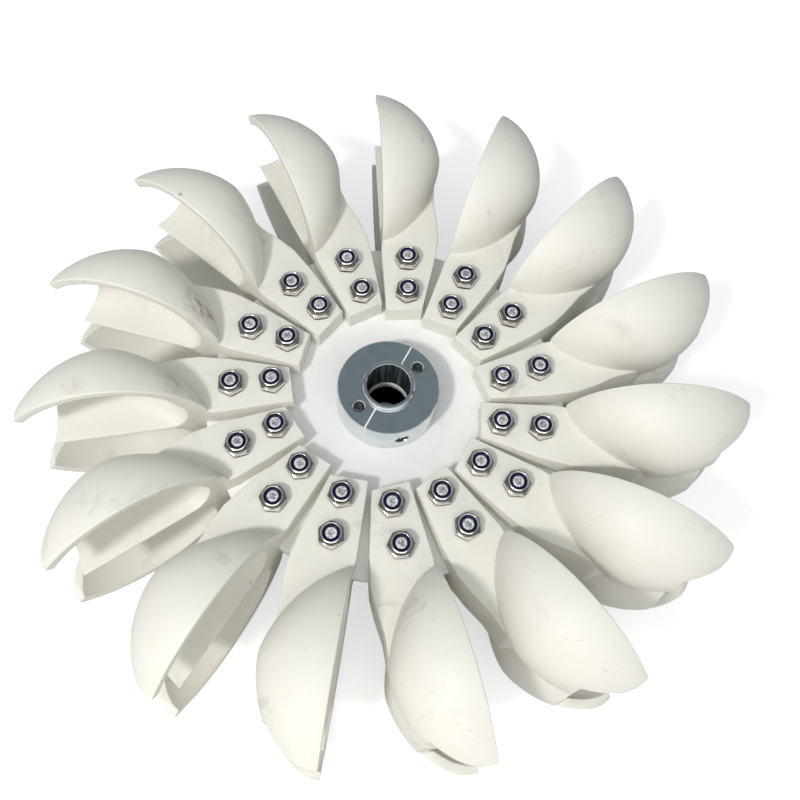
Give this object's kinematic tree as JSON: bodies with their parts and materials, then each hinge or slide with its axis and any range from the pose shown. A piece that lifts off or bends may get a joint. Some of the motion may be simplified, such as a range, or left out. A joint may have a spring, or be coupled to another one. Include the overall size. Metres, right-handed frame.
{
  "type": "pelton wheel",
  "caption": "Impulse turbine runner: twin-cup buckets bolted round a thin disc, with a split clamp hub for a plain shaft.",
  "frame": {"origin": "on the wheel's axis at mid-thickness of the disc, which is also the wheel's centre of mass", "axes": "+Z along the wheel's axis, out of the face with the nuts; +Y along the inner bolt of bucket_01, buckets numbered clockwise seen from +Z"},
  "size_m": [0.4045, 0.4029, 0.1178],
  "materials": {
    "bucket": "glossy ivory moulded plastic",
    "disc": "smooth cool white",
    "collar": "turned and faced",
    "sleeve": "bright turned",
    "screw": "dark oiled",
    "fastener": "bright bolts and lock nuts",
    "lock_ring": "blue-black ring inside each lock nut"
  },
  "bodies": {
    "root": {"disc": "disc", "bucket_01": "bucket", "bucket_02": "bucket", "bucket_03": "bucket", "bucket_04": "bucket", "bucket_05": "bucket", "bucket_06": "bucket", "bucket_07": "bucket", "bucket_08": "bucket", "bucket_09": "bucket", "bucket_10": "bucket", "bucket_11": "bucket", "bucket_12": "bucket", "bucket_13": "bucket", "bucket_14": "bucket", "bucket_15": "bucket", "hub_collar_front_a": "collar", "hub_collar_front_b": "collar", "hub_collar_back_a": "collar", "hub_collar_back_b": "collar", "bore_sleeve_front": "sleeve", "bore_sleeve_back": "sleeve", "hub_axial_screw_front_1": "screw", "hub_axial_screw_front_2": "screw", "hub_axial_screw_back_1": "screw", "hub_axial_screw_back_2": "screw", "hub_clamp_screw_front_1": "screw", "hub_clamp_screw_front_2": "screw", "hub_clamp_screw_back_1": "screw", "hub_clamp_screw_back_2": "screw"}
  },
  "joints": []
}
